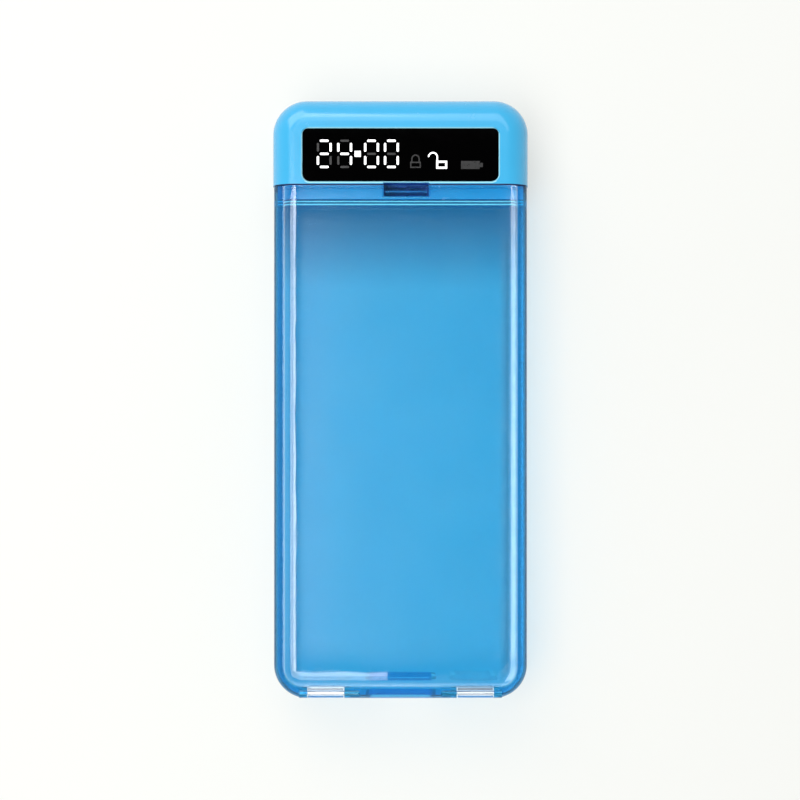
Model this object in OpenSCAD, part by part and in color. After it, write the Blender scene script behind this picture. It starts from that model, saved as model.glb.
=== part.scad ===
// Timed lock container: a see-through storage box with a clock-driven lock in its head.
// It lies on its back: +Z out of the clear front, +Y towards the head, X across the width.
// The origin is at the middle of the footprint, on the surface that the back rests on.

/* [Case] */
// Width of the head
case_w = 88.7; // [88.7:0.1:89]
// Length of the whole case
case_l = 207.6; // [207.4:0.1:207.8]
// Thickness of the whole case
case_h = 32; // [32:0.05:32.2]
// Radius of the four corners, seen from the front
corner_r = 12; // [11.8:0.1:12.2]
// Radius of the front edges
front_r = 8; // [7.6:0.1:8.2]
// Radius of the back edges
back_r = 5; // [4.6:0.1:5.2]
// Thickness of the shells
wall = 2; // [1.9:0.05:2]

/* [Storage bay] */
// How far the tray and the lid stand in from the head's outline
bay_inset = 0.35; // [0.3:0.05:0.4]
// Height of the tray's rim above the back
rim_z = 29.6; // [29.5:0.05:29.7]
// Radius of the rim's outer edge
rim_r = 5; // [4.6:0.1:5.4]
// Half the width of the bay
bay_half = 40.1; // [40.1:0.05:40.2]
// Gap round the lid
lid_gap = 0.4; // [0.35:0.05:0.45]
// Thickness of the lid
lid_t = 3.5; // [3.45:0.05:3.6]
// Height of the cross wall under the head
sill_z = 17.2; // [17.1:0.05:17.3]
// Face of the cross wall on the bay's side
cross_wall_y = 68.3; // [68.2:0.05:68.4]
// Width of the cable slot in the end wall
cable_slot_w = 22; // [20:0.5:22]
// Height of the cable slot
cable_slot_h = 10.8; // [9:0.2:10.8]

/* [Hinge] */
// Height of the hinge line
hinge_z = 28.4; // [28.3:0.05:28.4]
// Radius of the hinge barrels
barrel_r = 1.7; // [1.65:0.01:1.7]
// Radius of the steel pins
pin_r = 0.6; // [0.55:0.01:0.6]
// Clearance of the pins in the lid's barrels
pin_gap = 0.05; // [0.04:0.01:0.08]

/* [Catch and bolt] */
// Distance that the bolt travels
bolt_travel = 4.3; // [4.1:0.1:4.3]
// Thickness of the bolt
bolt_t = 3; // [2.9:0.05:3]
// Module of the rack and pinion
gear_m = 0.5; // [0.5]
// Number of teeth on the pinion
pinion_teeth = 10; // [10]

/* [Display] */
// Width of the faceplate
plate_w = 67.3; // [67:0.1:67.6]
// Height of the faceplate
plate_l = 18; // [17.9:0.05:18.1]
// Height of a digit between its outer bars' middles
digit_h = 9; // [8.8:0.1:9.2]
// Width of a digit between its upright bars' middles
digit_w = 4.36; // [4.2:0.02:4.4]
// Width of a bar
bar_t = 0.74; // [0.66:0.02:0.76]

/* [Buttons] */
// Distance that a button travels
button_travel = 0.5; // [0.4:0.05:0.5]
// Gap round each button
button_gap = 0.2; // [0.15:0.05:0.25]

/* [Hidden] */
$fn = 64;

hw = case_w / 2;            // half width of the head
bw = hw - bay_inset;        // half width of the tray and the lid
brc = corner_r - bay_inset; // their corner radius
y_end = -case_l / 2;        // hinge end
y_top = case_l / 2;         // head end
head_y = 74;                // where the head's full height starts
lid_y = 73.6;               // the lid's free end
lid_z = case_h - lid_t;
seat_z = lid_z - 0.3;       // ledge under the lid's edges
seat_half = bay_half + 0.8; // half width of the lid's seat
hinge_y = y_end + 2.4;
end_in = hinge_y + 1.65;    // the end wall's inner face at the rim
flange_z = 25.6;            // underside of the inward flange that carries the seat
bond = 0.03;                // bond line between the catch and the lid
knuckle_in = 19.7;          // the lid's barrels, from the middle
knuckle_out = 31.9;
// the tray's barrels, from the middle: inner pair and outer pair
tray_barrels = [[14.0, 19.4], [32.2, 35.0]];
ty = y_top - 105;           // shift of what sits at the head's end wall
split_z = 8;                // parting line between the head's covers
catch_x = [-5.2, 9.2];      // width of the lid's catch
pocket_x = [-5.9, 9.9];     // width of the latch pocket
eyes = [[-4.0, 2.0], [3.0, 7.4]];   // eyes of the catch
prongs = [[-3.6, 1.6], [3.4, 7.0]]; // prongs of the bolt
bolt_z = 10.2;
rack_z = bolt_z + bolt_t;   // foot of the rack's teeth
pitch_r = gear_m * pinion_teeth / 2;
shaft_z = rack_z + 0.6 + pitch_r;
shaft_y = 84;
board_z = 22.6;
board_t = 1.2;
guide_z = 30.3;             // top of the display module
window_z = case_h - 0.3;    // floor of the small windows in the faceplate
plate_t = 1.2;
plate_y0 = 75.1;
button_z = 20.3;
buttons_x = [-22, -10, 2];
socket_x = 22;
head_posts = [[-39.2, 81], [39.2, 81], [-39.2, 94], [39.2, 94]];
board_posts = [[-33.6, 80], [33.6, 80], [-33.6, 96], [33.6, 96]];
housing_ears = [[-10, 80.5], [-10, 90], [14.5, 94.5], [33, 94.5]];
tray_screw_x = [-36, -20, 20, 36];
tray_screw_y = 71.9;

// colours
c_sky = [0.30, 0.76, 0.95];
c_blue = [0.16, 0.55, 0.86, 0.6];
c_clear = [0.90, 0.95, 1.0, 0.4];
c_navy = [0.04, 0.08, 0.32];
c_steel = [0.75, 0.76, 0.78];
c_black = [0.03, 0.03, 0.035];
c_white = [0.96, 0.96, 0.96];
c_green = [0.05, 0.32, 0.16];

// ---------------------------------------------------------------- helpers

// a box between two corners
module box(a, b) translate(a) cube([b[0] - a[0], b[1] - a[1], b[2] - a[2]]);

// a round bar along X, and one along Y
module bar_x(x0, x1, y, z, r) translate([x0, y, z]) rotate([0, 90, 0]) cylinder(h = x1 - x0, r = r);
module bar_y(y0, y1, x, z, r) translate([x, y1, z]) rotate([90, 0, 0]) cylinder(h = y1 - y0, r = r);
module bar_z(z0, z1, x, y, r) translate([x, y, z0]) cylinder(h = z1 - z0, r = r);

// the same on both sides of the middle
module both() { children(); mirror([1, 0, 0]) children(); }

// a quarter of a round, in the first quadrant
module quarter(r) intersection() { circle(r); square(r); }

// half of a slab's section: from the middle out to r, with a rounded back and front edge
module edge_profile(r, z0, z1, rb, rf) {
    translate([0, z0 + rb]) square([r, z1 - z0 - rb - rf]);
    if (rb > 0) {
        translate([0, z0]) square([r - rb, rb]);
        translate([r - rb, z0 + rb]) mirror([0, 1]) quarter(rb);
    }
    if (rf > 0) {
        translate([0, z1 - rf]) square([r - rf, rf]);
        translate([r - rf, z1 - rf]) quarter(rf);
    }
}

// a straight run along Y with that section
module run_y(half, y0, y1, z0, z1, rb, rf)
    translate([0, y1, 0]) rotate([90, 0, 0]) linear_extrude(y1 - y0) {
        edge_profile(half, z0, z1, rb, rf);
        mirror([1, 0]) edge_profile(half, z0, z1, rb, rf);
    }

// a slab with two round corners at its -Y end, cut square at its +Y end
module slab(half, y0, y1, z0, z1, rc, rb, rf) {
    run_y(half, y0 + rc, y1, z0, z1, rb, rf);
    translate([half - rc, y0 + rc, 0]) rotate([90, 0, -90])
        linear_extrude(2 * (half - rc)) edge_profile(rc, z0, z1, rb, rf);
    both() translate([half - rc, y0 + rc, 0]) rotate([0, 0, -90])
        rotate_extrude(angle = 90) edge_profile(rc, z0, z1, rb, rf);
}

// a rounded rectangle through Z, with one radius at its low edge and one at its high edge
module plate(x0, x1, y0, y1, z0, z1, r0, r1) {
    box([x0, y0 + r0, z0], [x1, y1 - r1, z1]);
    box([x0 + r0, y0, z0], [x1 - r0, y0 + r0, z1]);
    box([x0 + r1, y1 - r1, z0], [x1 - r1, y1, z1]);
    for (x = [x0 + r0, x1 - r0]) bar_z(z0, z1, x, y0 + r0, r0);
    for (x = [x0 + r1, x1 - r1]) bar_z(z0, z1, x, y1 - r1, r1);
}

// the chamfer round such a rectangle: it widens by c over a height of c
module flare(x0, x1, y0, y1, z, c, r0, r1) {
    ym = (y0 + y1) / 2;
    for (e = [[x0 + r0, x1 - r0, y0, y0 - c, ym, ym], [x0 + r1, x1 - r1, ym, ym, y1, y1 + c]])
        translate([e[0], 0, 0]) rotate([90, 0, 90]) linear_extrude(e[1] - e[0])
            polygon([[e[2], z], [e[4], z], [e[5], z + c], [e[3], z + c]]);
    translate([0, y1 - r1, 0]) rotate([90, 0, 0]) linear_extrude(y1 - r1 - y0 - r0)
        polygon([[x0, z], [x1, z], [x1 + c, z + c], [x0 - c, z + c]]);
    for (x = [x0 + r0, x1 - r0]) translate([x, y0 + r0, z]) cylinder(h = c, r1 = r0, r2 = r0 + c);
    for (x = [x0 + r1, x1 - r1]) translate([x, y1 - r1, z]) cylinder(h = c, r1 = r1, r2 = r1 + c);
}

// a stadium through Y, of half length a between its centres
module stadium_y(x, z, a, r, y0, y1) {
    box([x - a, y0, z - r], [x + a, y1, z + r]);
    for (s = [-1, 1]) bar_y(y0, y1, x + s * a, z, r);
}

// a tube along a route of points
function unit(v) = v / norm(v);
function along(p, i) = unit(i == 0 ? p[1] - p[0] : i == len(p) - 1 ? p[i] - p[i - 1]
    : unit(p[i + 1] - p[i]) + unit(p[i] - p[i - 1]));
function side(t) = unit(cross(t, [1, 1, -1]));
module wire(p, r, n = 8) {
    rings = [for (i = [0:len(p) - 1]) let (t = along(p, i), u = side(t), w = cross(t, u))
        for (k = [0:n - 1]) p[i] + r * (cos(360 * k / n) * u + sin(360 * k / n) * w)];
    last = (len(p) - 1) * n;
    polyhedron(points = rings, faces = concat(
        [[for (k = [0:n - 1]) k]],
        [[for (k = [0:n - 1]) last + n - 1 - k]],
        [for (i = [0:len(p) - 2]) for (k = [0:n - 1])
            [i * n + k, (i + 1) * n + k, (i + 1) * n + (k + 1) % n, i * n + (k + 1) % n]]));
}

// a pan-head screw along -Z, its head's top at z
module screw_down(x, y, z, r, head_r, head_h, len) {
    difference() {
        bar_z(z - head_h, z, x, y, head_r);
        box([x - head_r * 0.6, y - 0.25, z - head_h * 0.5], [x + head_r * 0.6, y + 0.25, z + 1]);
        box([x - 0.25, y - head_r * 0.6, z - head_h * 0.5], [x + 0.25, y + head_r * 0.6, z + 1]);
    }
    bar_z(z - head_h - len, z - head_h, x, y, r);
}
// the same along +Z, its head's bottom at z
module screw_up(x, y, z, r, head_r, head_h, len)
    translate([0, 0, 2 * z]) mirror([0, 0, 1]) screw_down(x, y, z, r, head_r, head_h, len);

// ---------------------------------------------------------------- storage bay

// the cable slot, with rounded corners, along Y
module cable_slot(y0, y1, grow = 0) {
    a = cable_slot_w / 2 + grow;
    z0 = 4 - grow;
    z1 = 4 + cable_slot_h + grow;
    r = 1.5 + grow;
    box([-a, y0, z0 + r], [a, y1, z1 - r]);
    box([-a + r, y0, z0], [a - r, y1, z1]);
    for (x = [-a + r, a - r], z = [z0 + r, z1 - r]) bar_y(y0, y1, x, z, r);
}

module tray() color(c_blue) difference() {
    union() {
        difference() {
            union() {
                difference() {
                    slab(bw, y_end, head_y, 0, rim_z, brc, back_r, rim_r);
                    // the bay, the way in through the flange, and the lid's seat on the flange
                    slab(bw - wall, y_end + wall, cross_wall_y, wall, flange_z, brc - wall, back_r - wall, 0);
                    slab(bay_half, end_in, head_y + 1, flange_z - 0.1, seat_z + 0.1, 3, 0, 0);
                    slab(seat_half, end_in, head_y + 1, seat_z, rim_z + 5, 7, 0, 0);
                    // room for the head's tongue, and over the cross wall
                    run_y(bw - wall, cross_wall_y + wall, head_y + 1, wall, sill_z, back_r - wall, 0);
                    run_y(bw - wall, cross_wall_y - 1, head_y + 1, sill_z, flange_z, 0, 0);
                }
                // two beads along the top of the cross wall
                for (y = [cross_wall_y + 0.5, cross_wall_y + wall - 0.5]) bar_x(1 - bw, bw - 1, y, sill_z - 0.05, 0.45);
                // walls round the two recesses for the lid's barrels
                both() box([17.6, y_end + 1.6, 1.6], [34.0, hinge_y + 3.6, seat_z]);
                // rim round the cable slot, on the inside
                intersection() {
                    cable_slot(y_end + 1.5, hinge_y + 3.3, 1.5);
                    box([-20, -110, 0], [20, -90, rim_z]);
                }
            }
            // recesses for the lid's barrels
            both() box([19.4, -107, -1], [32.2, hinge_y + 1.85, rim_z + 1]);
        }
        // barrels, half sunk in the rim
        both() for (b = tray_barrels) bar_x(b[0], b[1], hinge_y, hinge_z, barrel_r);
    }
    both() bar_x(14.5, 35.3, hinge_y, hinge_z, pin_r);
    cable_slot(-107, hinge_y + 3.9);
    // screw holes in the back, under the head's tongue
    for (x = tray_screw_x) {
        bar_z(-1, wall + 0.2, x, tray_screw_y, 1.0);
        bar_z(-1, 1.1, x, tray_screw_y, 1.65);
    }
}

module lid() color(c_clear) difference() {
    union() {
        slab(seat_half - lid_gap, hinge_y + 2.15, lid_y, lid_z, case_h, 7 - lid_gap, 0, lid_t - 0.1);
        both() {
            bar_x(knuckle_in, knuckle_out, hinge_y, hinge_z, barrel_r);
            box([knuckle_in, hinge_y, hinge_z], [knuckle_out, hinge_y + 3.6, hinge_z + 1.3]);
        }
    }
    both() bar_x(knuckle_in - 1, knuckle_out + 1, hinge_y, hinge_z, pin_r + pin_gap);
}

// the catch that hangs from the lid's free end: a ladder with two eyes, and a foot bonded under the lid
module lid_catch() color(c_clear) difference() {
    union() {
        box([catch_x[0], 72.1, 8.0], [catch_x[1], 73.1, lid_z - bond]);
        for (x = [catch_x[0], 2.15, catch_x[1] - 0.9]) {
            box([x, 72.0, 8.0], [x + 0.9, 73.2, 15.6]);
            box([x, 72.0, 15.6], [x + 0.9, lid_y, lid_z - bond]);
        }
        box([catch_x[0], 72.0, 8.0], [catch_x[1], 73.2, 8.8]);
        box([catch_x[0] - 1.2, 69.8, lid_z - 1.2], [catch_x[1] + 1.2, lid_y, lid_z - bond]);
    }
    for (e = eyes) box([e[0], 70, 9.6], [e[1], 75, 14]);
}

module hinge_pins() color(c_steel) both() bar_x(14.5, 34.9, hinge_y, hinge_z, pin_r);

// ---------------------------------------------------------------- head

module head_slab(z0, inset, rc, rb, rf)
    mirror([0, 1, 0]) slab(hw - inset, -y_top + inset, -head_y - inset, z0, case_h - inset, rc, rb, rf);

module head_shell() difference() {
    head_slab(0, 0, corner_r, back_r, front_r);
    head_slab(wall, wall, corner_r - wall, back_r - wall, front_r - wall);
}

// the tongue that fits inside the tray's end
module tongue() difference() {
    run_y(bw - wall - 0.35, 70.4, head_y + 1, wall + 0.3, sill_z - 0.2, back_r - wall - 0.2, 0);
    box([-39.6, 72.4, 4.25], [39.6, 80, 15]);
}

// what is cut out of both covers
module head_openings() {
    // way from the head into the tongue
    box([-39.6, 72.4, 4.25], [39.6, 76.5, 15]);
    // room for the lock housing's pocket
    box([pocket_x[0] - 1.3, 71.4, 5.2], [pocket_x[1] + 1.3, 77.5, 15]);
    // the latch pocket's mouth, and room behind it for the lock housing's back plate
    box([pocket_x[0], 71.4, 14], [pocket_x[1], 77.5, 29.6]);
    box([pocket_x[0] - 1.3, 75.9, 14.8], [pocket_x[1] + 1.3, 77.5, 29.6]);
}

module head_front_cover() color(c_sky) difference() {
    union() {
        intersection() {
            union() { head_shell(); tongue(); }
            box([-60, 60, split_z], [60, 120, 40]);
        }
        // frame behind the faceplate
        box([-36, 75.5, 28.8], [36, 95, 30.5]);
        for (p = board_posts) bar_z(board_z + board_t, 29.5, p[0], p[1], 2.2);
        for (p = head_posts) bar_z(split_z, 28, p[0], p[1], 2.6);
    }
    head_openings();
    // seat of the faceplate, and the window in it
    plate(-plate_w / 2 - 0.12, plate_w / 2 + 0.12, plate_y0 - 0.12, plate_y0 + plate_l + 0.12,
        case_h - plate_t - 0.15, case_h + 1, 2.62, 1.92);
    flare(-plate_w / 2 - 0.12, plate_w / 2 + 0.12, plate_y0 - 0.12, plate_y0 + plate_l + 0.12,
        case_h - 0.3, 0.35, 2.62, 1.92);
    box([-31, 77.2, 28], [31, 91, 31.5]);
    // notch that the catch's foot swings past
    box([pocket_x[0], 73, 28], [pocket_x[1], 74.6, case_h + 1]);
    // buttons and socket in the end wall
    for (x = buttons_x) stadium_y(x, button_z, 1.9, 2.3 + button_gap, 102 + ty, 106);
    stadium_y(socket_x, board_z - 1.65, 3, 1.9, 102 + ty, 106);
    // pilot holes
    for (p = board_posts) bar_z(board_z, 28.5, p[0], p[1], 0.82);
    for (p = head_posts) bar_z(split_z - 1, split_z + 9, p[0], p[1], 1.02);
}

// the same openings, but the bosses of the tray's screws stay
module head_openings_rear() difference() {
    head_openings();
    for (x = tray_screw_x) bar_z(2, split_z, x, tray_screw_y, 2.1);
}

module head_rear_cover() color(c_sky) difference() {
    union() {
        intersection() {
            union() { head_shell(); tongue(); }
            box([-60, 60, -1], [60, 120, split_z - 0.12]);
        }
        intersection() {
            for (p = head_posts) bar_z(0.5, split_z - 0.12, p[0], p[1], 2.6);
            head_slab(0, 0, corner_r, back_r, front_r);
        }
        for (p = housing_ears) bar_z(1, 5.4, p[0], p[1], 2.4);
        // bosses for the tray's screws, in the tongue
        intersection() {
            for (x = tray_screw_x) bar_z(2.4, split_z - 0.12, x, tray_screw_y, 2.1);
            box([-45, 70.4, 0], [45, 80, 10]);
        }
        // fence round the battery
        box([-13.3, 80, 1], [-12.5, 97, 5]);
        box([-34, 76.6, 1], [-16, 77.3, 5]);
    }
    head_openings_rear();
    for (p = head_posts) {
        bar_z(-1, split_z + 1, p[0], p[1], 1.2);
        bar_z(-1, 2.2, p[0], p[1], 2.3);
    }
    for (x = tray_screw_x) bar_z(1, 7.1, x, tray_screw_y, 0.82);
    for (p = housing_ears) bar_z(2.2, 6, p[0], p[1], 0.82);
}

// ---------------------------------------------------------------- display

// One bar of a digit, centred at x, y. Round ends.
module bar_h(x, y, l, z0, z1, g = 0) {
    a = l / 2 - bar_t / 2;
    box([x - a, y - bar_t / 2 - g, z0], [x + a, y + bar_t / 2 + g, z1]);
    for (s = [-1, 1]) bar_z(z0, z1, x + s * a, y, bar_t / 2 + g);
}
module bar_v(x, y, l, z0, z1, g = 0) {
    a = l / 2 - bar_t / 2;
    box([x - bar_t / 2 - g, y - a, z0], [x + bar_t / 2 + g, y + a, z1]);
    for (s = [-1, 1]) bar_z(z0, z1, x, y + s * a, bar_t / 2 + g);
}

digit_x = [-26.2, -19.2, -9.96, -3.13];
digit_y = 84.4;
dot_x = -14.7;
bar_l = 3.0;
// bars a to g as [across?, x, y] from the digit's middle
bars = [["h", 0, 1], ["v", 1, 0.5], ["v", 1, -0.5], ["h", 0, -1], ["v", -1, -0.5], ["v", -1, 0.5], ["h", 0, 0]];
// which bars of each digit are lit: 2, 4, 0, 0
lit = [[1, 1, 0, 1, 1, 0, 1], [0, 1, 1, 0, 0, 1, 1], [1, 1, 1, 1, 1, 1, 0], [1, 1, 1, 1, 1, 1, 0]];

module digit_bars(on, z0, z1, g = 0)
    for (d = [0:3]) for (b = [0:6]) if (lit[d][b] == on) {
        x = digit_x[d] + bars[b][1] * digit_w / 2;
        y = digit_y + bars[b][2] * digit_h / 2;
        if (bars[b][0] == "h") bar_h(x, y, bar_l, z0, z1, g);
        else bar_v(x, y, bar_l, z0, z1, g);
    }

module ring_half(x, y, r, t, z0, z1, g = 0) difference() {
    bar_z(z0, z1, x, y, r + t / 2 + g);
    bar_z(z0 - 1, z1 + 1, x, y, r - t / 2 - g);
    box([x - r - 2, y - r - 2, z0 - 1], [x + r + 2, y, z1 + 1]);
}

// a padlock: body x0..x1, y0..y1 with a slot in it, stroke t; shackle at sx, sy, radius r
module padlock_body(x0, x1, y0, y1, t, z0, z1, g = 0) difference() {
    box([x0 - g, y0 - g, z0], [x1 + g, y1 + g, z1]);
    box([x0 + t + g, y0 + t + g, z0 - 1], [x1 - t - g, y1 - t - g, z1 + 1]);
}

module signs_lit(z0, z1, g = 0) {
    box([dot_x - 1.05 - g, digit_y - 1.0 - g, z0], [dot_x + 1.05 + g, digit_y + 1.0 + g, z1]);
    padlock_body(12.27, 16.01, 79.3, 82.0, 0.66, z0, z1, g);
    ring_half(11.14, 83.3, 1.5, 0.46, z0, z1, g);
    box([12.41 - g, 81.9 - g, z0], [12.87 + g, 83.3, z1]);
}

module signs_unlit(z0, z1, g = 0) {
    padlock_body(3.3, 7.0, 79.55, 81.7, 0.45, z0, z1, g);
    ring_half(5.15, 82.7, 1.25, 0.42, z0, z1, g);
    box([3.69 - g, 81.6 - g, z0], [4.11 + g, 82.7, z1]);
    box([6.19 - g, 81.6 - g, z0], [6.61 + g, 82.7, z1]);
    box([20.8 - g, 79.2 - g, z0], [27.2 + g, 81.95 + g, z1]);
    box([26.9, 79.85 - g, z0], [28.3 + g, 81.3 + g, z1]);
}

module segments_lit() color(c_white) {
    digit_bars(1, window_z, case_h + 0.02);
    signs_lit(window_z, case_h + 0.02);
}

module segments_unlit() color([0.22, 0.23, 0.24]) {
    digit_bars(0, window_z, case_h + 0.02);
    signs_unlit(window_z, case_h + 0.02);
}

module display_faceplate() color(c_black) difference() {
    plate(-plate_w / 2, plate_w / 2, plate_y0, plate_y0 + plate_l, case_h - plate_t, case_h, 2.5, 1.8);
    digit_bars(1, window_z, case_h + 1, 0.02);
    digit_bars(0, window_z, case_h + 1, 0.02);
    signs_lit(window_z, case_h + 1, 0.02);
    signs_unlit(window_z, case_h + 1, 0.02);
}

module faceplate_tape() color([0.15, 0.15, 0.16]) difference() {
    plate(-33.2, 33.2, 75.6, 92.7, case_h - plate_t - 0.15, case_h - plate_t, 2.1, 1.5);
    box([-31, 77.2, 30], [31, 91, 32]);
}

module display_module() color(c_white) {
    difference() {
        box([-30.5, 77.6, board_z + board_t], [30.5, 90.6, guide_z]);
        // a light well under each digit
        for (x = digit_x) box([x - 1.4, digit_y - 3.6, board_z + board_t - 1], [x + 1.4, digit_y + 3.6, guide_z - 1.2]);
    }
}

module main_board() color(c_green) difference() {
    plate(-36, 36, 77.6, 101 + ty, board_z, board_z + board_t, 1, 6);
    for (p = board_posts) bar_z(board_z - 1, board_z + 3, p[0], p[1], 1.0);
}

module board_screws() color(c_steel) for (p = board_posts)
    screw_up(p[0], p[1], board_z - 1.2, 0.8, 1.7, 1.2, 5.2);

// ---------------------------------------------------------------- fasteners

module head_screws() color(c_steel) for (p = head_posts)
    screw_up(p[0], p[1], 0.6, 1.0, 2.1, 1.6, 13);

module tray_screws() color(c_steel) for (x = tray_screw_x)
    screw_up(x, tray_screw_y, 0.1, 0.8, 1.5, 1.0, 5.8);

module housing_screws() color(c_steel) for (p = housing_ears)
    screw_down(p[0], p[1], 8.1, 0.8, 1.6, 1.2, 4.2);

// ---------------------------------------------------------------- lock

module lock_housing() color(c_navy) difference() {
    union() {
        // pocket and the plate behind it
        difference() {
            union() {
                box([pocket_x[0] - 1.2, 71.6, 5.4], [pocket_x[1] + 1.2, 77.2, 14.9]);
                box([pocket_x[0] - 1.2, 76, 14.9], [pocket_x[1] + 1.2, 77.2, 29.4]);
            }
            box([pocket_x[0], 71, 6.6], [pocket_x[1], 76, 30]);
            for (p = prongs) box([p[0] - 0.2, 75, bolt_z - 0.2], [p[1] + 0.2, 78, bolt_z + bolt_t + 0.2]);
        }
        // base
        box([-12.4, 77.2, 5.4], [-7, 92.5, 6.9]);
        box([-7.1, 77.2, 5.4], [36, 92, 6.9]);
        box([11.5, 76.6, 5.4], [36, 97, 6.9]);
        // bed and rails of the bolt
        box([-5.3, 77.1, 6.8], [8.7, 91.5, bolt_z - 0.05]);
        for (x = [[-5.3, -3.8], [7.2, 8.7]]) box([x[0], 77.1, 10], [x[1], 91.5, rack_z + 0.1]);
        for (y = [77.1, 87.8]) {
            box([-5.3, y, rack_z + 0.1], [-2.8, y + 3.6, rack_z + 0.95]);
            box([6.2, y, rack_z + 0.1], [8.7, y + 3.6, rack_z + 0.95]);
        }
        // cradle of the motor
        for (x = [12.6, 21, 31]) box([x, 77.5, 6.8], [x + 1.5, 90.5, 11.25]);
        box([12.6, 76.7, 6.8], [34, 77.9, 13.5]);
        box([12.6, 90.1, 6.8], [34, 91.3, 13.5]);
        bar_z(6.8, 13.5, 24, 94.2, 2.2);
    }
    for (p = housing_ears) bar_z(5, 7.5, p[0], p[1], 1.0);
    bar_z(7.2, 14, 24, 94.2, 0.72);
}

// a rack tooth and a pinion tooth, as trapezoids about their pitch line
pitch = PI * gear_m;
module rack_tooth(y) translate([0.8, y, 0]) rotate([90, 0, 90]) linear_extrude(4)
    polygon([[-0.52, rack_z - 0.01], [0.52, rack_z - 0.01], [0.20, rack_z + 1.0], [-0.20, rack_z + 1.0]]);

module latch_bolt() color([0.70, 0.71, 0.74]) {
    box([-3.7, 81.7, bolt_z], [7.1, 91, rack_z]);
    for (p = prongs) difference() {
        box([p[0], 76.15, bolt_z], [p[1], 82, rack_z]);
        // lead-in on the prong's nose
        for (z = [bolt_z, rack_z]) translate([(p[0] + p[1]) / 2, 76.15, z]) rotate([45, 0, 0])
            cube([p[1] - p[0] + 2, 0.7, 0.7], center = true);
    }
    for (i = [-1:3]) rack_tooth(shaft_y + (i + 0.5) * pitch);
}

root_r = pitch_r - 0.6;
tip_r = pitch_r + 0.4;
// outline of the pinion: each tooth is narrow at its tip
pinion_outline = [for (i = [0:pinion_teeth - 1]) let (a = i * 360 / pinion_teeth)
    for (p = [[root_r, -10.5], [pitch_r, -7.2], [tip_r, -3.0], [tip_r, 3.0], [pitch_r, 7.2], [root_r, 10.5]])
        [p[0] * cos(a + p[1]), p[0] * sin(a + p[1])]];
module drive_pinion() color([0.93, 0.91, 0.84]) difference() {
    translate([0.6, shaft_y, shaft_z]) rotate([90, 0, 90]) rotate([0, 0, -90])
        linear_extrude(4.4) polygon(pinion_outline);
    output_bar(-1, 6);
}

// the shaft is flat on one side
module output_bar(x0, x1) difference() {
    bar_x(x0, x1, shaft_y, shaft_z, 1.0);
    if (x1 < 9) box([x0 - 1, shaft_y - 2, shaft_z + 0.7], [x1 + 1, shaft_y + 2, shaft_z + 2]);
    else box([x0 - 1, shaft_y - 2, shaft_z + 0.7], [8, shaft_y + 2, shaft_z + 2]);
}
module output_shaft() color(c_steel) output_bar(0.4, 12.4);

module gearbox() color([0.82, 0.70, 0.38]) difference() {
    union() {
        // brass plates, posts and the wheel train between them
        box([10.5, 78, shaft_z - 5], [11.5, 90, shaft_z + 5]);
        box([18.5, 78, shaft_z - 5], [19.5, 90, shaft_z + 5]);
        for (y = [79.2, 88.8]) bar_x(11, 19, y, shaft_z - 3.6, 0.7);
        bar_x(13.0, 14.2, shaft_y, shaft_z, 3.6);
        bar_x(12.6, 18.6, shaft_y, shaft_z, 0.8);
        bar_x(14.6, 15.6, shaft_y + 2.6, shaft_z + 1.2, 3.0);
        bar_x(11.2, 18.8, shaft_y + 2.6, shaft_z + 1.2, 0.5);
        bar_x(16.2, 17.2, shaft_y - 1.2, shaft_z + 1.0, 3.2);
        bar_x(11.2, 18.8, shaft_y - 1.2, shaft_z + 1.0, 0.5);
    }
    bar_x(9, 12.5, shaft_y, shaft_z, 1.05);
}

module lock_motor() color([0.78, 0.79, 0.80]) {
    intersection() {
        bar_x(19.5, 34, shaft_y, shaft_z, 6);
        box([19, 77, shaft_z - 5], [35, 91, shaft_z + 5]);
    }
    bar_x(33.9, 34.7, shaft_y, shaft_z, 2.4);
    for (y = [-3.4, 3.4]) box([33.9, shaft_y + y - 0.9, shaft_z - 0.6], [35.4, shaft_y + y + 0.9, shaft_z - 0.2]);
}

module motor_clamp() color([0.12, 0.12, 0.13]) difference() {
    union() {
        box([20.5, 76.9, 21.35], [28, 91.35, 22.3]);
        box([20.5, 90.15, 13.6], [28, 91.35, 22]);
        box([20.5, 76.7, 13.6], [28, 77.9, 22]);
        box([20.5, 90.2, 13.6], [28, 96.5, 14.8]);
    }
    bar_z(13, 16, 24, 94.2, 1.0);
}

module clamp_screw() color(c_steel) screw_down(24, 94.2, 15.9, 0.7, 1.6, 1.1, 5);

module bolt_switch() color(c_black) {
    difference() {
        box([8.9, 79, 6.95], [11.5, 86.5, 11.2]);
        for (y = [80.4, 85.1]) bar_x(8, 12, y, 8.6, 0.5);
    }
    box([9.0, 81.9, 11.1], [10.3, 83.1, 12.0]);
}

// ---------------------------------------------------------------- electronics

module battery_cell() color([0.75, 0.77, 0.80]) {
    box([-35.4, 77.8, 2.6], [-14, 99.4, 8.6]);
    box([-14, 79, 3.4], [-13.4, 79.9, 7.8]);
}

module battery_pad() color([0.2, 0.2, 0.21]) box([-34, 79, wall], [-15, 98, 2.6]);

module battery_leads() for (i = [0, 1]) color(i == 0 ? [0.8, 0.08, 0.06] : [0.05, 0.05, 0.05])
    wire([[-25 + 2 * i, 96, 8.6], [-25 + 2 * i, 96, 11], [-23 + 2 * i, 95, 14], [-18 + 2 * i, 93, 16], [-15 + 2 * i, 92, 17.6], [-15 + 2 * i, 92, 18.78]], 0.45);

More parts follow.
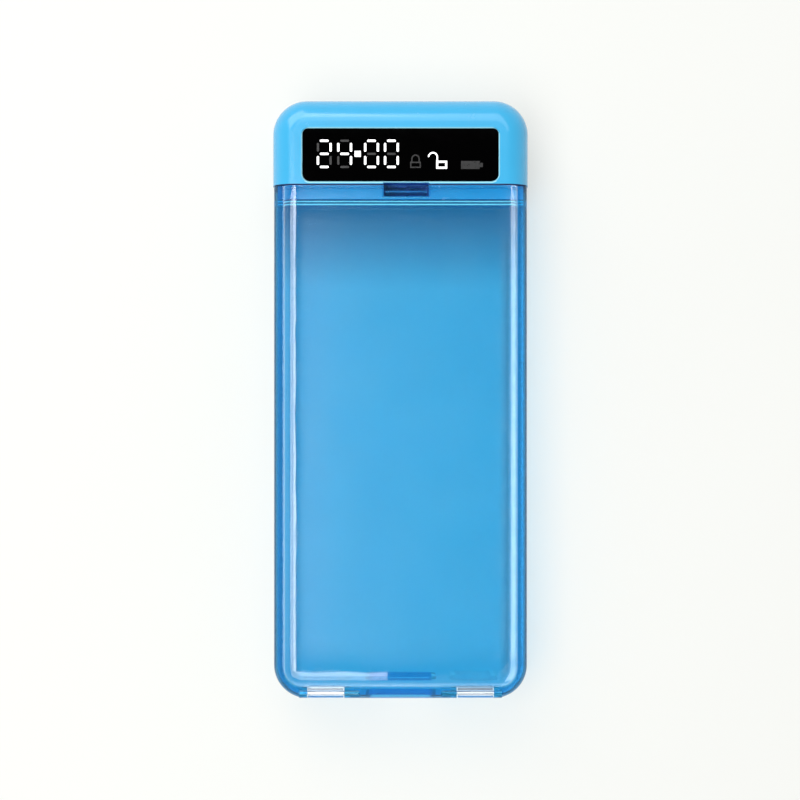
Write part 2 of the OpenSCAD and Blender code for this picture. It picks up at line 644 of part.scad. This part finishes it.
lead_a = [[35.4, 87.4, 16.2], [36, 87.6, 16.3], [36.1, 89, 16.6], [35.2, 91.4, 17], [33, 93.2, 17.4],
    [31, 93.7, 17.7], [30.2, 93.8, 18.1], [30.2, 93.8, 18.78]];
lead_b = [[35.4, 80.6, 16.2], [35.9, 80.9, 16.3], [36.1, 83, 16.2], [37, 86.5, 15.3], [37.2, 89.5, 15.3],
    [36, 92, 15.4], [34, 94.6, 15.6], [31.5, 95.4, 16], [29, 95.2, 16.6], [28.2, 94.6, 17.4], [28.2, 94.6, 18.78]];
module motor_leads() {
    color([0.8, 0.08, 0.06]) wire(lead_a, 0.42);
    color([0.05, 0.05, 0.05]) wire(lead_b, 0.42);
}

module lead_connectors() color(c_white) {
    box([-18, 90, 18.8], [-10, 94, board_z]);
    box([26.3, 92.5, 18.8], [31.5, 95.9, board_z]);
}

module charging_socket() color(c_steel) {
    difference() {
        stadium_y(socket_x, board_z - 1.65, 2.9, 1.6, 97.4 + ty, 104.7 + ty);
        stadium_y(socket_x, board_z - 1.65, 2.9, 1.3, 98.2 + ty, 106);
    }
    // the contact tongue in its middle
    box([socket_x - 3.3, 98 + ty, board_z - 1.98], [socket_x + 3.3, 104 + ty, board_z - 1.32]);
}

module push_switches() color(c_black) for (x = buttons_x) difference() {
    box([x - 3, 96.2 + ty, 18.2], [x + 3, 99.9 + ty, board_z]);
    bar_y(98.1 + ty, 101, x, button_z, 0.95);
}

module buzzer() color(c_black) difference() {
    bar_z(19.2, board_z, -27, 84, 4.5);
    bar_z(18, 20, -27, 84, 0.9);
}

// ---------------------------------------------------------------- buttons

module button(x) difference() {
    union() {
        stadium_y(x, button_z, 1.9, 2.3, 102.8 + ty, 104.9 + ty);
        stadium_y(x, button_z, 1.9, 2.9, 102.1 + ty, 102.92 + ty);
        bar_y(101 + ty, 102.5 + ty, x, button_z, 1.0);
    }
    children();
}

module button_minus() color(c_sky) button(buttons_x[0])
    box([buttons_x[0] - 1.3, 104.65 + ty, button_z - 0.22], [buttons_x[0] + 1.3, 106, button_z + 0.22]);

module button_plus() color(c_sky) button(buttons_x[1]) {
    box([buttons_x[1] - 1.3, 104.65 + ty, button_z - 0.22], [buttons_x[1] + 1.3, 106, button_z + 0.22]);
    box([buttons_x[1] - 0.22, 104.65 + ty, button_z - 1.3], [buttons_x[1] + 0.22, 106, button_z + 1.3]);
}

module button_set() color(c_sky) button(buttons_x[2])
    difference() {
        bar_y(104.65 + ty, 106, buttons_x[2], button_z, 1.25);
        bar_y(104 + ty, 107, buttons_x[2], button_z, 0.8);
    }

module plunger(x) color([0.85, 0.83, 0.75]) bar_y(98.8 + ty, 101 + ty, x, button_z, 0.9);
module plunger_minus() plunger(buttons_x[0]);
module plunger_plus() plunger(buttons_x[1]);
module plunger_set() plunger(buttons_x[2]);

tray();
lid();
lid_catch();
hinge_pins();
head_front_cover();
head_rear_cover();
display_faceplate();
faceplate_tape();
segments_lit();
segments_unlit();
display_module();
main_board();
board_screws();
head_screws();
tray_screws();
lock_housing();
housing_screws();
latch_bolt();
drive_pinion();
output_shaft();
gearbox();
lock_motor();
motor_clamp();
clamp_screw();
bolt_switch();
battery_cell();
battery_pad();
battery_leads();
motor_leads();
lead_connectors();
charging_socket();
push_switches();
button_minus();
button_plus();
button_set();
plunger_minus();
plunger_plus();
plunger_set();
buzzer();
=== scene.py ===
import math

import bpy
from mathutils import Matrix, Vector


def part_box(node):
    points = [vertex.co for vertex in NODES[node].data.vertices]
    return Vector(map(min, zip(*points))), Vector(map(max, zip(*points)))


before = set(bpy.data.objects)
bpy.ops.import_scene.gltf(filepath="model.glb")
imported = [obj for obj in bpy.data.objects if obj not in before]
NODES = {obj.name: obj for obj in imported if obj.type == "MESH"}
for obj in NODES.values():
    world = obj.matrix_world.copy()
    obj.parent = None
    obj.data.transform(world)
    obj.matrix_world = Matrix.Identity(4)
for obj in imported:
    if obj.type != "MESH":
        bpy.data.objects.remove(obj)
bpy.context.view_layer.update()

scene = bpy.context.scene


# ---------------------------------------------------------------- material helpers


class Mat:
    """A node material under construction. Textures run in object space, in metres."""

    def __init__(self, name):
        self.m = bpy.data.materials.new(name)
        self.m.use_nodes = True
        self.nt = self.m.node_tree
        self.nt.nodes.clear()
        self.out = self.add("ShaderNodeOutputMaterial")
        self.coord = self.add("ShaderNodeTexCoord").outputs["Object"]

    def add(self, kind, **props):
        n = self.nt.nodes.new(kind)
        for k, v in props.items():
            setattr(n, k, v)
        return n

    def link(self, a, b):
        self.nt.links.new(a, b)

    def mapped(self, scale=(1, 1, 1), turn=(0, 0, 0)):
        n = self.add("ShaderNodeMapping")
        n.inputs["Scale"].default_value = scale
        n.inputs["Rotation"].default_value = turn
        self.link(self.coord, n.inputs["Vector"])
        return n.outputs["Vector"]

    def noise(self, scale, detail=2.0, rough=0.5, vector=None, distortion=0.0):
        n = self.add("ShaderNodeTexNoise")
        n.inputs["Scale"].default_value = scale
        n.inputs["Detail"].default_value = detail
        n.inputs["Roughness"].default_value = rough
        n.inputs["Distortion"].default_value = distortion
        self.link(vector or self.coord, n.inputs["Vector"])
        return n.outputs["Fac"]

    def ramp(self, fac, stops):
        n = self.add("ShaderNodeValToRGB")
        r = n.color_ramp
        while len(r.elements) < len(stops):
            r.elements.new(0.5)
        for e, (p, c) in zip(r.elements, stops):
            e.position = p
            e.color = (*c, 1.0)
        self.link(fac, n.inputs["Fac"])
        return n.outputs["Color"]

    def span(self, fac, lo, hi, f0=0.3, f1=0.7):
        n = self.add("ShaderNodeMapRange")
        n.inputs["From Min"].default_value = f0
        n.inputs["From Max"].default_value = f1
        n.inputs["To Min"].default_value = lo
        n.inputs["To Max"].default_value = hi
        self.link(fac, n.inputs["Value"])
        return n.outputs["Result"]

    def blend(self, fac, a, b):
        n = self.add("ShaderNodeMix", data_type="RGBA")
        self.link(fac, n.inputs["Factor"])
        for s, v in ((n.inputs[6], a), (n.inputs[7], b)):
            if hasattr(v, "links"):
                self.link(v, s)
            else:
                s.default_value = (*v, 1.0)
        return n.outputs[2]

    def axes(self):
        n = self.add("ShaderNodeSeparateXYZ")
        self.link(self.coord, n.inputs[0])
        return n.outputs["X"], n.outputs["Y"], n.outputs["Z"]

    def maths(self, op, a, b=0.5):
        n = self.add("ShaderNodeMath", operation=op)
        for s, v in zip(n.inputs, (a, b)):
            if hasattr(v, "links"):
                self.link(v, s)
            else:
                s.default_value = v
        return n.outputs[0]

    def bump(self, height, distance, strength=1.0, under=None):
        n = self.add("ShaderNodeBump")
        n.inputs["Strength"].default_value = strength
        n.inputs["Distance"].default_value = distance
        self.link(height, n.inputs["Height"])
        if under is not None:
            self.link(under, n.inputs["Normal"])
        return n.outputs["Normal"]

    def principled(self, **values):
        n = self.add("ShaderNodeBsdfPrincipled")
        for k, v in values.items():
            s = n.inputs[k.replace("_", " ")]
            if hasattr(v, "links"):
                self.link(v, s)
            else:
                s.default_value = (*v, 1.0) if isinstance(v, tuple) and len(v) == 3 else v
        return n.outputs["BSDF"]

    def finish(self, shader):
        self.link(shader, self.out.inputs["Surface"])
        return self.m


def shade(c, k):
    return tuple(max(0.0, min(1.0, x * k)) for x in c)


def plastic(name, colour, rough=(0.18, 0.3), grain=0.0, coat=0.0, spread=0.05, wave=0.00002, **more):
    """Moulded plastic: colour drifts a little, roughness is uneven, the skin has a slight waviness and a grain."""
    m = Mat(name)
    drift = m.noise(45, 3)
    col = m.ramp(drift, [(0.3, shade(colour, 1 - spread)), (0.7, shade(colour, 1 + spread))])
    ro = m.span(m.noise(210, 4, 0.65), rough[0], rough[1])
    normal = m.bump(m.noise(130, 1), wave)
    if grain:
        normal = m.bump(m.noise(5200, 2, 0.7), grain, under=normal)
    args = dict(Base_Color=col, Roughness=ro, Normal=normal, IOR=1.5)
    if coat:
        args.update(Coat_Weight=coat, Coat_Roughness=0.04, Coat_IOR=1.5)
    args.update(more)
    return m.finish(m.principled(**args))


def clear_plastic(name, tint, shadow, rough, ior, wave, depth=None, haze=0.0, floor=None, beads=None, painted_glow=0.0, glow_colour=(0.13, 0.48, 1.0)):
    """See-through moulded plastic: light from the lamps passes through it, tinted. depth is what a thick part takes
    off.
    haze is the share that scatters. floor gives the tray's floor its own tints, a painted shadow of the head that
    darkens it towards the head, painted shade along the side walls, and a rougher finish. beads gives the two beads
    along its cross wall a painted dark reflection on the far side and a painted highlight on the near side. The last
    two arguments set the strength and the colour of a painted glow over the whole surface, which stands in for light
    that a polished plate carries along inside itself to its edges."""
    m = Mat(name)
    ro = m.span(m.noise(70, 5, 0.7), rough[0], rough[1], 0.35, 0.75)
    drift = m.noise(30, 2)

    def tinted(c):
        return m.ramp(drift, [(0.3, shade(c, 0.985)), (0.7, shade(c, 1.015))])

    col = tinted(tint)
    if floor:
        x, y, z = m.axes()
        low = m.span(z, 1.0, 0.0, 0.0022, 0.0036)
        # painted shade on the tray's floor: a deeper tint towards the head stands for its shadow, another along the
        # side walls
        base = m.blend(m.span(y, 0.0, 1.0, 0.040, 0.066), tinted(floor["tint"]), tinted(floor["head"]))
        base = m.blend(m.span(m.maths("ABSOLUTE", x), 0.0, 1.0, 0.0355, 0.0385), base, m.blend(m.span(y, 0.0, 1.0, 0.040, 0.066), tinted(floor["side"]), tinted(floor["head"])))
        col = m.blend(low, col, base)
        ro = m.maths("ADD", ro, m.maths("MULTIPLY", low, floor["rough"]))
    # painted reflection and highlight: a deep tint on each bead's far side stands for a dark reflection, a bright tint
    # on its near side for a highlight
    if beads:
        on = m.maths("MULTIPLY", m.maths("GREATER_THAN", z, 0.0169), m.maths("LESS_THAN", z, 0.0178))
        for v, lo, hi in ((y, beads["y"], beads["y"] + 0.002), (x, -beads["half"], beads["half"])):
            on = m.maths("MULTIPLY", on, m.maths("MULTIPLY", m.maths("GREATER_THAN", v, lo), m.maths("LESS_THAN", v, hi)))
        part = m.maths("FRACT", m.maths("MULTIPLY", m.maths("SUBTRACT", y, beads["y"]), 1000.0))
        bead = m.blend(m.span(part, 0.0, 1.0, 0.45, 0.55), tinted(beads["near"]), tinted(beads["far"]))
        col = m.blend(on, col, bead)
    normal = m.bump(m.noise(85, 1), wave)
    # the emission below is a painted glow, not a lamp
    glass = m.principled(
        Base_Color=col, Roughness=ro, Normal=normal, IOR=ior, Transmission_Weight=1.0 - haze,
        Emission_Color=glow_colour, Emission_Strength=painted_glow,
    )
    clear = m.add("ShaderNodeBsdfTransparent")
    clear.inputs["Color"].default_value = (*shadow, 1.0)
    path = m.add("ShaderNodeLightPath")
    mix = m.add("ShaderNodeMixShader")
    m.link(path.outputs["Is Shadow Ray"], mix.inputs["Fac"])
    m.link(glass, mix.inputs[1])
    m.link(clear.outputs[0], mix.inputs[2])
    if depth:
        v = m.add("ShaderNodeVolumeAbsorption")
        v.inputs["Color"].default_value = (*depth[0], 1.0)
        v.inputs["Density"].default_value = depth[1]
        m.link(v.outputs[0], m.out.inputs["Volume"])
    return m.finish(mix.outputs[0])


def metal(name, colour, rough=(0.22, 0.38), stretch=(1, 1, 1), depth=0.000004, spread=0.06):
    """Drawn or rolled metal: fine lines along one direction, uneven polish."""
    m = Mat(name)
    lines = m.noise(2600, 3, 0.6, m.mapped(stretch))
    col = m.ramp(m.noise(300, 3), [(0.3, shade(colour, 1 - spread)), (0.7, shade(colour, 1 + spread))])
    ro = m.span(lines, rough[0], rough[1])
    return m.finish(
        m.principled(Base_Color=col, Roughness=ro, Metallic=1.0, Normal=m.bump(lines, depth))
    )


def glow(name, colour, strength, base):
    m = Mat(name)
    even = m.noise(900, 2)
    lit = m.ramp(even, [(0.25, shade(colour, 0.97)), (0.75, colour)])
    return m.finish(
        m.principled(
            Base_Color=base, Roughness=m.span(even, 0.25, 0.4), Emission_Color=lit, Emission_Strength=strength
        )
    )


# ---------------------------------------------------------------- finishes

SKY = (0.034, 0.378, 0.67)
TRAY = (0.085, 0.52, 0.80)


def sky_material():
    """Glossy sky blue. Painted shade makes the step under the lid's end a deeper blue, and a painted shadow makes its
    upper edge, in the gap at the lid, deepest. A painted highlight makes the chamfered edge round the display window
    lighter."""
    m = Mat("sky_gloss")
    x, y, z = m.axes()
    drift = m.noise(45, 3)
    # painted shade: the step under the lid's end is darker, and its upper edge in the gap at the lid gets a deeper
    # painted shadow
    step = m.span(y, 1.0, 0.0, 0.07405, 0.07425)
    gap_shadow = m.maths("MULTIPLY", step, m.span(z, 0.0, 1.0, 0.0262, 0.0278))
    top = m.ramp(drift, [(0.3, shade(SKY, 0.97)), (0.7, shade(SKY, 1.03))])
    low = m.ramp(drift, [(0.3, (0.004, 0.245, 0.51)), (0.7, (0.005, 0.265, 0.55))])
    col = m.blend(gap_shadow, m.blend(step, top, low), (0.0002, 0.012, 0.10))
    # distance outside the window's rounded outline
    lo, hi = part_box("display_faceplate")
    r = 0.0025
    over = []
    for v, a, b in ((x, lo[0], hi[0]), (y, lo[1], hi[1])):
        off = m.maths("ABSOLUTE", m.maths("SUBTRACT", v, (a + b) / 2))
        over.append(m.maths("MAXIMUM", m.maths("SUBTRACT", off, (b - a) / 2 - r), 0.0))
    away = m.maths("POWER", m.maths("ADD", m.maths("MULTIPLY", over[0], over[0]), m.maths("MULTIPLY", over[1], over[1])), 0.5)
    away = m.maths("SUBTRACT", away, m.maths("MULTIPLY", m.maths("LESS_THAN", y, lo[1]), 0.0002))
    # painted highlight: a lighter colour on the chamfered edge round the display window
    rim_highlight = m.maths("MULTIPLY", m.span(away, 1.0, 0.0, r + 0.00042, r + 0.00056), m.maths("GREATER_THAN", z, hi[2] - 0.0008))
    col = m.blend(rim_highlight, col, m.ramp(drift, [(0.3, (0.31, 0.70, 0.84)), (0.7, (0.33, 0.73, 0.87))]))
    return m.finish(
        m.principled(
            Base_Color=col, IOR=1.5,
            Roughness=m.maths("ADD", m.span(m.noise(210, 4, 0.65), 0.20, 0.28), m.maths("MULTIPLY", gap_shadow, 0.6)),
            Normal=m.bump(m.noise(130, 1), 0.00002), Coat_Weight=m.maths("SUBTRACT", 0.55, m.maths("ADD", m.maths("MULTIPLY", step, 0.45), m.maths("MULTIPLY", gap_shadow, 0.10))),
            Coat_Roughness=0.04, Coat_IOR=1.5,
        )
    )


sky_shell = sky_material()
button_sky = plastic("button_satin", shade(SKY, 0.86), rough=(0.3, 0.42), grain=0.000003)
tray_blue = clear_plastic(
    "tray_clear_blue", TRAY, tuple(math.sqrt(c) for c in TRAY), (0.015, 0.06), 1.33, 0.000008,
    depth=((0.22, 0.60, 0.74), 30.0), haze=0.08,
    # the floor's head tint is a painted shadow of the head, its side tint painted shade along the side walls
    floor=dict(tint=(0.045, 0.435, 0.70), side=(0.030, 0.29, 0.49), head=(0.018, 0.20, 0.41), rough=0.16),
    # beads: far is a painted dark reflection, near a painted highlight
    beads=dict(y=0.0683, half=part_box("tray")[1][0] - 0.0021, near=(0.20, 0.98, 0.98), far=(0.0005, 0.02, 0.20)),
)
# painted highlight for the near sides of the cross wall's beads, with a painted glow
bead_highlight = clear_plastic(
    "tray_bead_edge", (0.20, 0.90, 0.98), tuple(math.sqrt(c) for c in TRAY), (0.05, 0.12), 1.33, 0.000008,
    haze=0.22, painted_glow=0.34, glow_colour=(0.22, 0.75, 1.0),
)
# the lid and its side faces give off a faint painted glow
lid_clear = clear_plastic(
    "lid_clear", (0.955, 0.98, 1.0), (0.975, 0.99, 1.0), (0.0, 0.03), 1.5, 0.000006, painted_glow=0.018,
)
clear_edge = clear_plastic("clear_edge", (0.90, 0.96, 1.0), (0.975, 0.99, 1.0), (0.08, 0.16), 1.5, 0.000006, haze=0.26, painted_glow=0.05)
catch_clear = clear_plastic("catch_clear", (0.62, 0.80, 0.97), (0.85, 0.93, 0.99), (0.0, 0.03), 1.5, 0.000006)
black_gloss = plastic("window_black", (0.0003, 0.0003, 0.00035), rough=(0.015, 0.04), spread=0.2, wave=0.00001)
lit = glow("segment_lit", (1.0, 1.0, 1.0), 1.15, (0.8, 0.8, 0.8))
# the unlit segments give off a faint painted glow
unlit = glow("segment_unlit", (0.06, 0.06, 0.062), 0.10, (0.0024, 0.0024, 0.0026))
navy = plastic("navy_satin", (0.018, 0.075, 0.42), rough=(0.3, 0.45), grain=0.000008)
black = plastic("black_satin", (0.012, 0.012, 0.014), rough=(0.35, 0.55), grain=0.00001)
white = plastic("white_satin", (0.82, 0.82, 0.80), rough=(0.35, 0.5), grain=0.000006)
natural = plastic("natural_acetal", (0.78, 0.75, 0.66), rough=(0.3, 0.42), grain=0.000004)
steel = metal("steel_bright", (0.66, 0.67, 0.69), stretch=(0.05, 1, 1))
bolt_steel = metal("bolt_steel", (0.55, 0.56, 0.59), rough=(0.28, 0.45), stretch=(1, 0.05, 1))
can = metal("motor_can", (0.70, 0.71, 0.73), rough=(0.25, 0.4), stretch=(0.04, 1, 1))
brass = metal("brass_wheels", (0.76, 0.55, 0.22), rough=(0.22, 0.36), stretch=(1, 0.06, 1))
foil = metal("cell_foil", (0.72, 0.74, 0.77), rough=(0.32, 0.5), stretch=(0.2, 0.3, 1), depth=0.00002)


def board_material():
    m = Mat("solder_mask")
    cells = m.add("ShaderNodeTexVoronoi", feature="DISTANCE_TO_EDGE")
    cells.inputs["Scale"].default_value = 190
    m.link(m.mapped((1, 1.6, 1), (0, 0, math.pi / 4)), cells.inputs["Vector"])
    track = m.span(cells.outputs["Distance"], 1.0, 0.0, 0.05, 0.09)
    col = m.ramp(track, [(0.2, (0.008, 0.085, 0.035)), (0.8, (0.03, 0.20, 0.08))])
    return m.finish(
        m.principled(
            Base_Color=col, Roughness=m.span(m.noise(300, 3), 0.25, 0.4), IOR=1.5,
            Normal=m.bump(track, 0.00003),
        )
    )


def tape_material():
    m = Mat("tape_matt")
    fibre = m.noise(1500, 3, 0.6, m.mapped((1, 0.2, 1)))
    col = m.ramp(fibre, [(0.3, (0.006, 0.006, 0.006)), (0.7, (0.014, 0.014, 0.015))])
    return m.finish(
        m.principled(Base_Color=col, Roughness=m.span(fibre, 0.7, 0.9), Normal=m.bump(fibre, 0.00002))
    )


def foam_material():
    m = Mat("foam_open_cell")
    cells = m.add("ShaderNodeTexVoronoi")
    cells.inputs["Scale"].default_value = 1600
    m.link(m.coord, cells.inputs["Vector"])
    col = m.ramp(cells.outputs["Distance"], [(0.1, (0.006, 0.006, 0.007)), (0.6, (0.035, 0.035, 0.037))])
    return m.finish(
        m.principled(
            Base_Color=col, Roughness=m.span(cells.outputs["Distance"], 0.85, 1.0, 0, 0.6),
            Normal=m.bump(cells.outputs["Distance"], 0.0002),
        )
    )


def lead_material():
    """Red and black insulation. The two wires of a pair lie either side of a slanting plane."""
    m = Mat("lead_insulation")
    sep = m.add("ShaderNodeSeparateXYZ")
    m.link(m.coord, sep.inputs[0])
    x, y = sep.outputs["X"], sep.outputs["Y"]
    left = m.maths("LESS_THAN", m.maths("ADD", x, m.maths("MULTIPLY", m.maths("SUBTRACT", y, 0.096), 2.5)), -0.02425)
    line = m.maths("ADD", x, m.maths("MULTIPLY", y, 0.75))
    right = m.maths("MULTIPLY", m.maths("GREATER_THAN", x, 0.0), m.maths("LESS_THAN", line, 0.1032))
    which = m.maths("MAXIMUM", m.maths("MULTIPLY", left, m.maths("LESS_THAN", x, 0.0)), right)
    fleck = m.noise(900, 2)
    red = m.ramp(fleck, [(0.3, (0.42, 0.008, 0.006)), (0.7, (0.52, 0.015, 0.010))])
    dark = m.ramp(fleck, [(0.3, (0.008, 0.008, 0.008)), (0.7, (0.016, 0.016, 0.017))])
    mix = m.add("ShaderNodeMix", data_type="RGBA")
    m.link(which, mix.inputs["Factor"])
    m.link(dark, mix.inputs[6])
    m.link(red, mix.inputs[7])
    return m.finish(
        m.principled(Base_Color=mix.outputs[2], Roughness=m.span(fleck, 0.35, 0.5), Normal=m.bump(fleck, 0.00001))
    )


FINISH = {
    "tray": tray_blue,
    "lid": lid_clear,
    "lid_catch": catch_clear,
    "head_front_cover": sky_shell,
    "head_rear_cover": sky_shell,
    "display_faceplate": black_gloss,
    "faceplate_tape": tape_material(),
    "segments_lit": lit,
    "segments_unlit": unlit,
    "display_module": white,
    "main_board": board_material(),
    "lock_housing": navy,
    "latch_bolt": bolt_steel,
    "drive_pinion": natural,
    "gearbox": brass,
    "lock_motor": can,
    "motor_clamp": black,
    "bolt_switch": black,
    "battery_cell": foil,
    "battery_pad": foam_material(),
    "battery_leads": lead_material(),
    "lead_connectors": white,
    "push_switches": black,
    "button_minus": button_sky,
    "button_plus": button_sky,
    "button_set": button_sky,
    "plunger_minus": natural,
    "plunger_plus": natural,
    "plunger_set": natural,
    "buzzer": black,
}
FINISH["motor_leads"] = FINISH["battery_leads"]

for name, o in NODES.items():
    o.data.materials.clear()
    o.data.materials.append(FINISH.get(name, steel))

# the moulded side faces of the clear parts are less polished than their flat faces, and give off a painted glow
for name in ("lid", "lid_catch"):
    me = NODES[name].data
    me.materials.append(clear_edge)
    for f in me.polygons:
        n = f.normal
        dull = abs(n.x) > 0.5 if name == "lid_catch" else abs(n.z) < 0.5 and n.y < 0.9
        f.material_index = 1 if dull else 0

# the near sides of the cross wall's two beads get a painted highlight: a bright tint and a painted glow
me = NODES["tray"].data
me.materials.append(bead_highlight)
for f in me.polygons:
    c = f.center
    if 0.01722 < c.z < 0.0178 and abs(c.x) < 0.0418 and any(y < c.y < y + 0.00048 for y in (0.0683, 0.0693)):
        f.material_index = 1

# ---------------------------------------------------------------- stage and lights


def stage_floor():
    me = bpy.data.meshes.new("floor")
    s = 6.0
    z = -0.00025
    me.from_pydata([(-s, -s, z), (s, -s, z), (s, s, z), (-s, s, z)], [], [(0, 1, 2, 3)])
    o = bpy.data.objects.new("floor", me)
    scene.collection.objects.link(o)
    m = Mat("floor_pale")
    d = m.add("ShaderNodeBsdfDiffuse")
    m.link(
        m.ramp(m.noise(6, 2), [(0.3, (0.297, 0.299, 0.288)), (0.7, (0.303, 0.305, 0.294))]), d.inputs["Color"]
    )
    e = m.add("ShaderNodeEmission")
    e.inputs["Color"].default_value = (0.99, 1.0, 0.965, 1)
    e.inputs["Strength"].default_value = 0.59
    a = m.add("ShaderNodeAddShader")
    m.link(d.outputs[0], a.inputs[0])
    m.link(e.outputs[0], a.inputs[1])
    me.materials.append(m.finish(a.outputs[0]))


def panel(name, x0, x1, y0, y1, z, power, aim=False):
    """A soft panel light. It faces straight down, or the origin if aimed."""
    d = bpy.data.lights.new(name, "AREA")
    d.shape = "RECTANGLE"
    d.size = x1 - x0
    d.size_y = y1 - y0
    d.energy = power * (x1 - x0) * (y1 - y0) * math.pi
    o = bpy.data.objects.new(name, d)
    o.location = ((x0 + x1) / 2, (y0 + y1) / 2, z)
    if aim:
        o.rotation_euler = (-o.location).to_track_quat("-Z", "Y").to_euler()
    scene.collection.objects.link(o)
    o.visible_camera = False
    return o


def sky():
    """Even studio surround, dim straight overhead so that the flat faces stay clear."""
    w = bpy.data.worlds.new("surround")
    scene.world = w
    w.use_nodes = True
    nt = w.node_tree
    nt.nodes.clear()
    out = nt.nodes.new("ShaderNodeOutputWorld")
    bg = nt.nodes.new("ShaderNodeBackground")
    tc = nt.nodes.new("ShaderNodeTexCoord")
    sep = nt.nodes.new("ShaderNodeSeparateXYZ")
    ramp = nt.nodes.new("ShaderNodeValToRGB")
    nt.links.new(tc.outputs["Generated"], sep.inputs[0])
    nt.links.new(sep.outputs["Z"], ramp.inputs["Fac"])
    nt.links.new(ramp.outputs["Color"], bg.inputs["Color"])
    nt.links.new(bg.outputs[0], out.inputs["Surface"])
    r = ramp.color_ramp
    stops = [(0.0, 0.86), (0.5, 0.50), (0.90, 0.30), (0.975, 0.008)]
    while len(r.elements) < len(stops):
        r.elements.new(0.5)
    for e, (p, v) in zip(r.elements, stops):
        e.position = p
        e.color = (v * 0.985, v * 0.995, v, 1)
    bg.inputs["Strength"].default_value = 1.0


stage_floor()
sky()
panel("panel_left", -0.60, -0.0955, -0.249, 0.197, 1.0, 7.2)
panel("panel_near", -0.60, -0.012, -0.66, -0.249, 1.0, 4.6)
panel("panel_corner", -0.84, -0.04, 0.40, 1.20, 0.82, 2.7, aim=True)
panel("panel_far", -0.20, 0.34, 0.255, 1.10, 1.0, 1.8)
panel("panel_right", 0.14, 0.42, -0.50, 0.19, 1.0, 0.4)

cam_data = bpy.data.cameras.new("camera")
cam = bpy.data.objects.new("camera", cam_data)
scene.collection.objects.link(cam)
cam_data.sensor_width = 36.0
cam_data.lens = 76.49
cam_data.clip_start = 0.01
cam_data.clip_end = 20.0
cam.location = (-0.000176, -0.000176, 0.616)
scene.camera = cam

scene.view_settings.view_transform = "Standard"
scene.view_settings.look = "None"
